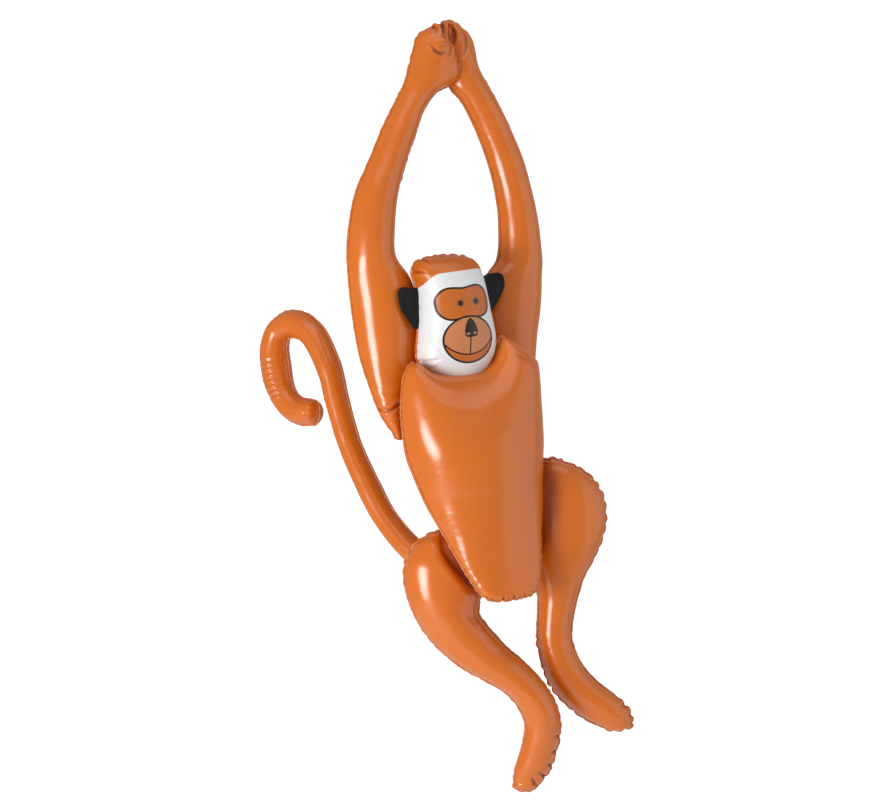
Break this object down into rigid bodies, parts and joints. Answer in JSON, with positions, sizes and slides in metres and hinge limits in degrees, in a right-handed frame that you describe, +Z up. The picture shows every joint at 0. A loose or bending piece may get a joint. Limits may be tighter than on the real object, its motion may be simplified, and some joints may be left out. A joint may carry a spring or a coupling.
{
  "type": "inflatable hanging monkey",
  "caption": "Inflatable hanging monkey of glossy orange vinyl: long arms clasped overhead in a hanging loop, printed face, flat black ears, bent legs and a curled tail.",
  "frame": {"origin": "the hang point, under the clasped hands at the top of the loop of the arms, where a branch, rod or hook bears", "axes": "+Z up along the body, the monkey faces -Y, +X to the right of a viewer who faces it"},
  "size_m": [0.3422, 0.3768, 0.893],
  "materials": {
    "orange_vinyl": "glossy inflated film",
    "printed_vinyl": "glossy film with a printed face",
    "black_vinyl": "satin flat film",
    "clear_valve": "soft translucent valve"
  },
  "bodies": {
    "root": {"torso": "orange_vinyl", "head": "printed_vinyl", "ear_left": "black_vinyl", "ear_right": "black_vinyl", "arm_left": "orange_vinyl", "arm_right": "orange_vinyl", "leg_left": "orange_vinyl", "leg_right": "orange_vinyl", "tail": "orange_vinyl", "valve": "clear_valve"}
  },
  "joints": []
}
